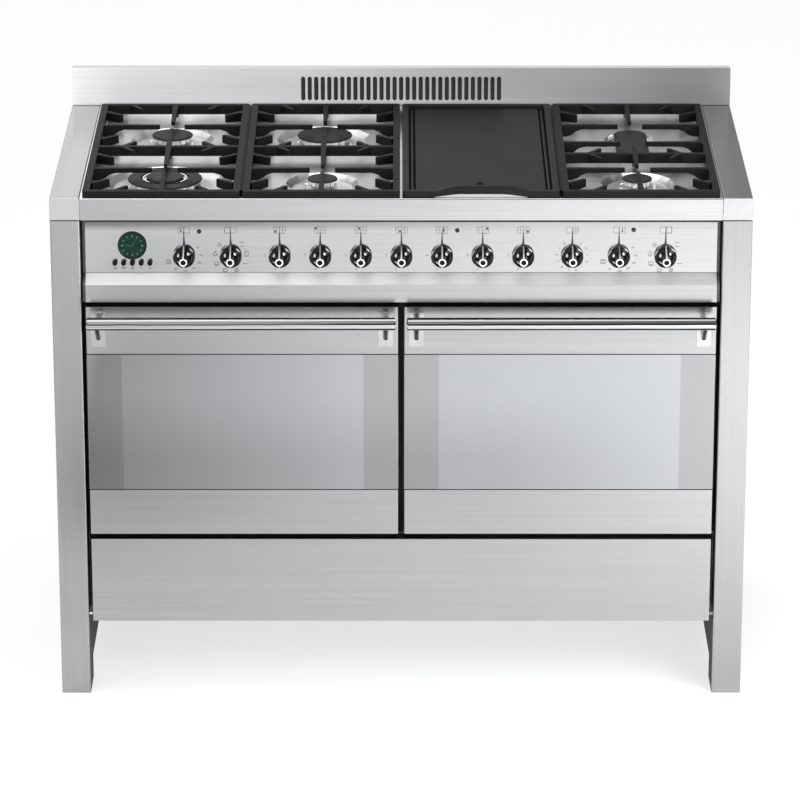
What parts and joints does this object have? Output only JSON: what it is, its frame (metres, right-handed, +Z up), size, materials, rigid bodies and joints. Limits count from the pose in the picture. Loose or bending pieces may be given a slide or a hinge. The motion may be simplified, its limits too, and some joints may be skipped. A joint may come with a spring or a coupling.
{
  "type": "range cooker with double oven",
  "caption": "Wide stainless range cooker on front legs: gas hob with cast griddle, knob panel with clock, drop-down oven doors and a storage flap.",
  "frame": {"origin": "on the floor, at the middle of the width and of the whole depth including the door handles", "axes": "+X to the cooker's right as seen from the front, +Y to the back, +Z up"},
  "size_m": [1.2, 0.66, 0.985],
  "materials": {
    "brushed_steel": "satin stainless, fine straight grain",
    "panel_steel": "satin stainless, horizontal grain",
    "hob_steel": "polished pressed stainless",
    "dark_steel": "satin black paint",
    "burner_aluminium": "die-cast, matt",
    "burner_cap": "matt black enamel",
    "cast_iron": "matt black enamelled casting, fine orange peel",
    "element": "heat-darkened tube",
    "knob": "gloss black with chrome lever",
    "clock": "dark green display under a clear lens",
    "button": "gloss black",
    "door_glass": "grey reflective door glass with printed margins",
    "inner_glass": "clear heat-reflecting glass",
    "chrome": "polished chrome",
    "oven_enamel": "gloss dark enamel with fine speckle",
    "galvanised": "zinc-coated sheet",
    "rubber": "matt black seal",
    "lamp": "dark red lens",
    "print": "screen print"
  },
  "bodies": {
    "cooker": {"front_leg_left": "brushed_steel", "front_leg_right": "brushed_steel", "side_cheek_left": "dark_steel", "side_cheek_right": "dark_steel", "hob_rail_left": "brushed_steel", "hob_rail_right": "brushed_steel", "burner_body_front_left": "burner_aluminium", "burner_body_back_left": "burner_aluminium", "burner_body_front_middle": "burner_aluminium", "burner_body_back_middle": "burner_aluminium", "burner_body_front_right": "burner_aluminium", "burner_body_back_right": "burner_aluminium", "burner_cap_front_left": "burner_cap", "burner_cap_back_left": "burner_cap", "burner_cap_front_middle": "burner_cap", "burner_cap_back_middle": "burner_cap", "burner_cap_front_right": "burner_cap", "burner_cap_back_right": "burner_cap", "burner_ring_front_left": "burner_cap", "hob_top": "hob_steel", "griddle_element": "element", "upstand": "brushed_steel", "control_panel": "panel_steel", "timer_clock": "clock", "oven_cavity_left": "oven_enamel", "oven_cavity_right": "oven_enamel", "oven_rack_left": "chrome", "oven_rack_right": "chrome", "storage_compartment": "galvanised", "back_panel": "galvanised"},
    "door_left": {"door_frame_left": "brushed_steel", "door_glass_left": "door_glass", "door_inner_glass_left": "inner_glass", "door_handle_left": "chrome"},
    "door_right": {"door_frame_right": "brushed_steel", "door_glass_right": "door_glass", "door_inner_glass_right": "inner_glass", "door_handle_right": "chrome"},
    "flap": {"storage_flap": "brushed_steel"},
    "grate_1": {"grate_1": "cast_iron"},
    "grate_2": {"grate_2": "cast_iron"},
    "grate_4": {"grate_4": "cast_iron"},
    "griddle": {"griddle_plate": "cast_iron"},
    "knob_thermostat_left": {"knob_thermostat_left": "knob"},
    "knob_function_left": {"knob_function_left": "knob"},
    "knob_burner_front_left": {"knob_burner_front_left": "knob"},
    "knob_burner_back_left": {"knob_burner_back_left": "knob"},
    "knob_burner_back_middle": {"knob_burner_back_middle": "knob"},
    "knob_burner_front_middle": {"knob_burner_front_middle": "knob"},
    "knob_griddle": {"knob_griddle": "knob"},
    "knob_burner_back_right": {"knob_burner_back_right": "knob"},
    "knob_burner_front_right": {"knob_burner_front_right": "knob"},
    "knob_minute_timer": {"knob_minute_timer": "knob"},
    "knob_thermostat_right": {"knob_thermostat_right": "knob"},
    "knob_function_right": {"knob_function_right": "knob"},
    "timer_button_1": {"timer_button_1": "button"},
    "timer_button_2": {"timer_button_2": "button"},
    "timer_button_3": {"timer_button_3": "button"},
    "timer_button_4": {"timer_button_4": "button"},
    "timer_button_5": {"timer_button_5": "button"}
  },
  "joints": [
    {"name": "door_left_hinge", "type": "hinge", "parent": "cooker", "child": "door_left", "pos_m": [-0.27375, -0.262, 0.31], "axis": [1, 0, 0], "range_deg": [0, 90]},
    {"name": "door_right_hinge", "type": "hinge", "parent": "cooker", "child": "door_right", "pos_m": [0.27375, -0.262, 0.31], "axis": [1, 0, 0], "range_deg": [0, 90]},
    {"name": "flap_hinge", "type": "hinge", "parent": "cooker", "child": "flap", "pos_m": [0, -0.264, 0.15], "axis": [1, 0, 0], "range_deg": [0, 90]},
    {"name": "grate_1_lift", "type": "slide", "parent": "cooker", "child": "grate_1", "axis": [0, 0, 1], "range_m": [0, 0.12]},
    {"name": "grate_2_lift", "type": "slide", "parent": "cooker", "child": "grate_2", "axis": [0, 0, 1], "range_m": [0, 0.12]},
    {"name": "grate_4_lift", "type": "slide", "parent": "cooker", "child": "grate_4", "axis": [0, 0, 1], "range_m": [0, 0.12]},
    {"name": "griddle_lift", "type": "slide", "parent": "cooker", "child": "griddle", "axis": [0, 0, 1], "range_m": [0, 0.12]},
    {"name": "knob_thermostat_left_turn", "type": "hinge", "parent": "cooker", "child": "knob_thermostat_left", "pos_m": [-0.3723, -0.25, 0.805], "axis": [0, 1, 0], "range_deg": [0, 280]},
    {"name": "knob_function_left_turn", "type": "hinge", "parent": "cooker", "child": "knob_function_left", "pos_m": [-0.2923, -0.25, 0.805], "axis": [0, 1, 0], "range_deg": [0, 315]},
    {"name": "knob_burner_front_left_turn", "type": "hinge", "parent": "cooker", "child": "knob_burner_front_left", "pos_m": [-0.2083, -0.25, 0.805], "axis": [0, -1, 0], "range_deg": [0, 210]},
    {"name": "knob_burner_back_left_turn", "type": "hinge", "parent": "cooker", "child": "knob_burner_back_left", "pos_m": [-0.1387, -0.25, 0.805], "axis": [0, -1, 0], "range_deg": [0, 210]},
    {"name": "knob_burner_back_middle_turn", "type": "hinge", "parent": "cooker", "child": "knob_burner_back_middle", "pos_m": [-0.0691, -0.25, 0.805], "axis": [0, -1, 0], "range_deg": [0, 210]},
    {"name": "knob_burner_front_middle_turn", "type": "hinge", "parent": "cooker", "child": "knob_burner_front_middle", "pos_m": [0.0005, -0.25, 0.805], "axis": [0, -1, 0], "range_deg": [0, 210]},
    {"name": "knob_griddle_turn", "type": "hinge", "parent": "cooker", "child": "knob_griddle", "pos_m": [0.0701, -0.25, 0.805], "axis": [0, 1, 0], "range_deg": [0, 270]},
    {"name": "knob_burner_back_right_turn", "type": "hinge", "parent": "cooker", "child": "knob_burner_back_right", "pos_m": [0.1397, -0.25, 0.805], "axis": [0, -1, 0], "range_deg": [0, 210]},
    {"name": "knob_burner_front_right_turn", "type": "hinge", "parent": "cooker", "child": "knob_burner_front_right", "pos_m": [0.2093, -0.25, 0.805], "axis": [0, -1, 0], "range_deg": [0, 210]},
    {"name": "knob_minute_timer_turn", "type": "hinge", "parent": "cooker", "child": "knob_minute_timer", "pos_m": [0.2933, -0.25, 0.805], "axis": [0, 1, 0], "range_deg": [0, 330]},
    {"name": "knob_thermostat_right_turn", "type": "hinge", "parent": "cooker", "child": "knob_thermostat_right", "pos_m": [0.3733, -0.25, 0.805], "axis": [0, 1, 0], "range_deg": [0, 280]},
    {"name": "knob_function_right_turn", "type": "hinge", "parent": "cooker", "child": "knob_function_right", "pos_m": [0.4533, -0.25, 0.805], "axis": [0, 1, 0], "range_deg": [0, 315]},
    {"name": "timer_button_1_press", "type": "slide", "parent": "cooker", "child": "timer_button_1", "axis": [0, 1, 0], "range_m": [0, 0.002], "stiffness_N_per_m": 400},
    {"name": "timer_button_2_press", "type": "slide", "parent": "cooker", "child": "timer_button_2", "axis": [0, 1, 0], "range_m": [0, 0.002], "stiffness_N_per_m": 400},
    {"name": "timer_button_3_press", "type": "slide", "parent": "cooker", "child": "timer_button_3", "axis": [0, 1, 0], "range_m": [0, 0.002], "stiffness_N_per_m": 400},
    {"name": "timer_button_4_press", "type": "slide", "parent": "cooker", "child": "timer_button_4", "axis": [0, 1, 0], "range_m": [0, 0.002], "stiffness_N_per_m": 400},
    {"name": "timer_button_5_press", "type": "slide", "parent": "cooker", "child": "timer_button_5", "axis": [0, 1, 0], "range_m": [0, 0.002], "stiffness_N_per_m": 400}
  ]
}
